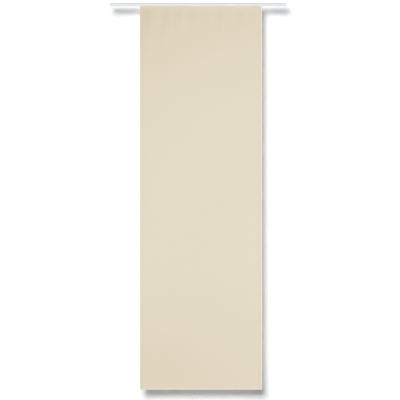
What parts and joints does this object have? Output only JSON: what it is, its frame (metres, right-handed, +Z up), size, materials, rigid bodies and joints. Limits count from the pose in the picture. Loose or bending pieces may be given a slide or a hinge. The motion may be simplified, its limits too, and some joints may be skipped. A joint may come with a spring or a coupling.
{
  "type": "sliding panel curtain",
  "caption": "Flat cloth panel with a weighted bottom hem, held by hook-and-loop tape to a carrier bar that rolls on wheeled runners along a slim white ceiling track.",
  "frame": {"origin": "middle of the track's top face, which lies against the ceiling", "axes": "+X along the track to the right as seen from the room, +Y away from the room, +Z up"},
  "size_m": [0.864, 0.02, 1.8993],
  "materials": {
    "white_lacquer": "white lacquered aluminium extrusion",
    "white_plastic": "matt white moulding",
    "runner_plastic": "natural white moulding",
    "wheel_plastic": "smooth natural white moulding",
    "steel": "bright steel",
    "hook_tape": "nylon hook tape",
    "loop_tape": "nylon loop tape",
    "cloth": "finely woven cream cloth, half opaque",
    "mill_aluminium": "plain extruded aluminium"
  },
  "bodies": {
    "track": {"track": "white_lacquer", "end_cap_left": "white_plastic", "end_cap_right": "white_plastic", "end_stop_left": "white_plastic", "end_stop_right": "white_plastic", "stop_screws": "steel"},
    "panel": {"carrier_bar": "white_lacquer", "carrier_cap_left": "white_plastic", "carrier_cap_right": "white_plastic", "runner_1": "runner_plastic", "runner_2": "runner_plastic", "runner_3": "runner_plastic", "runner_4": "runner_plastic", "hook_tape": "hook_tape", "loop_tape": "loop_tape", "cloth_panel": "cloth", "weight_bar": "mill_aluminium"},
    "wheelset_1": {"axle_1": "steel", "wheel_front_1": "wheel_plastic", "wheel_back_1": "wheel_plastic"},
    "wheelset_2": {"axle_2": "steel", "wheel_front_2": "wheel_plastic", "wheel_back_2": "wheel_plastic"},
    "wheelset_3": {"axle_3": "steel", "wheel_front_3": "wheel_plastic", "wheel_back_3": "wheel_plastic"},
    "wheelset_4": {"axle_4": "steel", "wheel_front_4": "wheel_plastic", "wheel_back_4": "wheel_plastic"}
  },
  "joints": [
    {"name": "panel_slide", "type": "slide", "parent": "track", "child": "panel", "axis": [1, 0, 0], "range_m": [-0.146, 0.118]},
    {"name": "wheelset_1_roll", "type": "hinge", "parent": "panel", "child": "wheelset_1", "pos_m": [-0.256, 0, -0.00885], "axis": [0, 1, 0], "continuous": true},
    {"name": "wheelset_2_roll", "type": "hinge", "parent": "panel", "child": "wheelset_2", "pos_m": [-0.076, 0, -0.00885], "axis": [0, 1, 0], "continuous": true},
    {"name": "wheelset_3_roll", "type": "hinge", "parent": "panel", "child": "wheelset_3", "pos_m": [0.104, 0, -0.00885], "axis": [0, 1, 0], "continuous": true},
    {"name": "wheelset_4_roll", "type": "hinge", "parent": "panel", "child": "wheelset_4", "pos_m": [0.284, 0, -0.00885], "axis": [0, 1, 0], "continuous": true}
  ],
  "couplings": [
    {"joint": "wheelset_1_roll", "follows": "panel_slide", "rad_per_m": 250},
    {"joint": "wheelset_2_roll", "follows": "panel_slide", "rad_per_m": 250},
    {"joint": "wheelset_3_roll", "follows": "panel_slide", "rad_per_m": 250},
    {"joint": "wheelset_4_roll", "follows": "panel_slide", "rad_per_m": 250}
  ]
}
